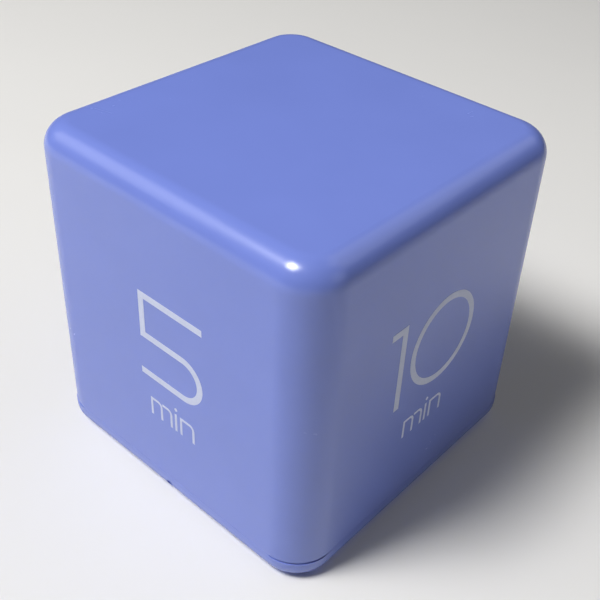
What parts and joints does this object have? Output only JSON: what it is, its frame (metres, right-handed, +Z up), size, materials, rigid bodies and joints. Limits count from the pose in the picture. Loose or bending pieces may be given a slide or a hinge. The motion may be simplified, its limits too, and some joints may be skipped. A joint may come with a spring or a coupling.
{
  "type": "cube timer",
  "caption": "Cube timer that counts the minutes printed on the face turned up, with a screwed bottom cover, battery door and power switch.",
  "frame": {"origin": "middle of the base, on the surface that the timer stands on", "axes": "+Z up through the blank top face, -Y out of the face with the 5, +X out of the face with the 10"},
  "size_m": [0.064, 0.064, 0.064],
  "materials": {
    "body_shell": "satin moulded, periwinkle",
    "bottom_cover": "satin moulded, periwinkle",
    "battery_door": "satin moulded, periwinkle",
    "switch_knob": "satin moulded, off-white",
    "screw_steel": "zinc plated",
    "cell_jacket": "shrink film, satin",
    "contact_nickel": "nickel plated strip",
    "spring_nickel": "nickel plated wire",
    "board": "green solder mask on glass laminate",
    "chip_black": "moulded epoxy",
    "crystal_can": "nickel plated lid",
    "capacitor_sleeve": "sleeved can",
    "coil": "ferrite core, wound",
    "resistor": "glazed",
    "capacitor_ceramic": "fired ceramic",
    "tilt_can": "nickel plated",
    "tilt_base": "moulded",
    "tilt_ball": "polished",
    "sounder_brass": "rolled sheet",
    "sounder_ceramic": "silvered ceramic",
    "switch_frame": "tin plated",
    "switch_black": "moulded",
    "wire_red": "insulation",
    "wire_black": "insulation"
  },
  "bodies": {
    "case": {"body_shell": "body_shell", "bottom_cover": "bottom_cover", "case_screw_1": "screw_steel", "case_screw_2": "screw_steel", "case_screw_3": "screw_steel", "case_screw_4": "screw_steel", "board_screw_1": "screw_steel", "board_screw_2": "screw_steel", "cell_1": "cell_jacket", "cell_2": "cell_jacket", "positive_contact": "contact_nickel", "negative_contact": "contact_nickel", "bridge_contact": "contact_nickel", "negative_spring": "spring_nickel", "bridge_spring": "spring_nickel", "main_board": "board", "controller_chip": "chip_black", "drive_transistor": "chip_black", "crystal": "crystal_can", "electrolytic_capacitor": "capacitor_sleeve", "boost_coil": "coil", "resistor_1": "resistor", "resistor_2": "resistor", "resistor_3": "resistor", "resistor_4": "resistor", "ceramic_capacitor_1": "capacitor_ceramic", "ceramic_capacitor_2": "capacitor_ceramic", "ceramic_capacitor_3": "capacitor_ceramic", "tilt_can_1": "tilt_can", "tilt_can_2": "tilt_can", "tilt_can_3": "tilt_can", "tilt_can_4": "tilt_can", "tilt_base_1": "tilt_base", "tilt_base_2": "tilt_base", "tilt_base_3": "tilt_base", "tilt_base_4": "tilt_base", "sounder_disc": "sounder_brass", "sounder_ceramic": "sounder_ceramic", "switch_frame": "switch_frame", "switch_terminals": "switch_black", "battery_lead_red": "wire_red", "sounder_lead_1": "wire_red", "switch_lead_1": "wire_red", "switch_lead_2": "wire_red", "battery_lead_black": "wire_black", "sounder_lead_2": "wire_black"},
    "door": {"battery_door": "battery_door"},
    "power_switch": {"switch_knob": "switch_knob", "switch_slider": "switch_black"},
    "ball_1": {"tilt_ball_1": "tilt_ball"},
    "ball_2": {"tilt_ball_2": "tilt_ball"},
    "ball_3": {"tilt_ball_3": "tilt_ball"},
    "ball_4": {"tilt_ball_4": "tilt_ball"}
  },
  "joints": [
    {"name": "battery_door_hinge", "type": "hinge", "parent": "case", "child": "door", "pos_m": [-0.02585, -0.0102, 0], "axis": [0, 1, 0], "range_deg": [0, 70]},
    {"name": "power_switch_slide", "type": "slide", "parent": "case", "child": "power_switch", "axis": [1, 0, 0], "range_m": [0, 0.003]},
    {"name": "tilt_ball_1_roll", "type": "slide", "parent": "case", "child": "ball_1", "axis": [0.9781, 0, 0.2079], "range_m": [0, 0.004]},
    {"name": "tilt_ball_2_roll", "type": "slide", "parent": "case", "child": "ball_2", "axis": [0, 0.9781, 0.2079], "range_m": [0, 0.004]},
    {"name": "tilt_ball_3_roll", "type": "slide", "parent": "case", "child": "ball_3", "axis": [-0.9781, 0, 0.2079], "range_m": [0, 0.004]},
    {"name": "tilt_ball_4_roll", "type": "slide", "parent": "case", "child": "ball_4", "axis": [0, -0.9781, 0.2079], "range_m": [0, 0.004]}
  ]
}
